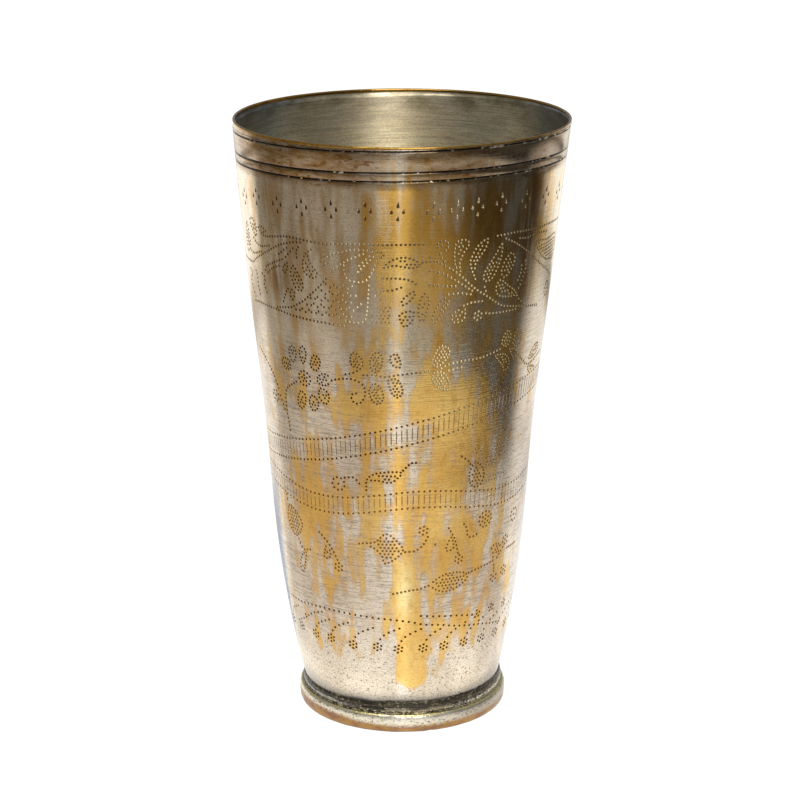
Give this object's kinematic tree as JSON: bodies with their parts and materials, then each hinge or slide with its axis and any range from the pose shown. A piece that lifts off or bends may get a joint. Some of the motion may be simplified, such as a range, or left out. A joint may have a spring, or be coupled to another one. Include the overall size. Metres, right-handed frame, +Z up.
{
  "type": "drinking tumbler",
  "caption": "Tall tapered lassi tumbler of worn tinned brass with a punched dot ornament, turned lines under its lip and a soldered foot ring; holds a cold drink.",
  "frame": {"origin": "centre of the face that the foot ring rests on", "axes": "+Z up along the tumbler's turning axis; the side that the picture shows faces -Y"},
  "size_m": [0.095, 0.095, 0.174],
  "materials": {
    "worn_tin_plating": "satin tin plating on brass, worn through to the brass in streaks, with punched dots",
    "inner_tin_plating": "dull turned tin plating on brass",
    "foot_brass": "tinned bead with a bare, worn brass lower edge and a dark shoulder",
    "dark_solder": "dark, uneven old solder",
    "grey_solder": "dull grey solder"
  },
  "bodies": {
    "root": {"body_wall": "worn_tin_plating", "floor_disc": "inner_tin_plating", "foot_ring": "foot_brass", "outer_solder_seam": "dark_solder", "inner_solder_seam": "grey_solder"}
  },
  "joints": []
}
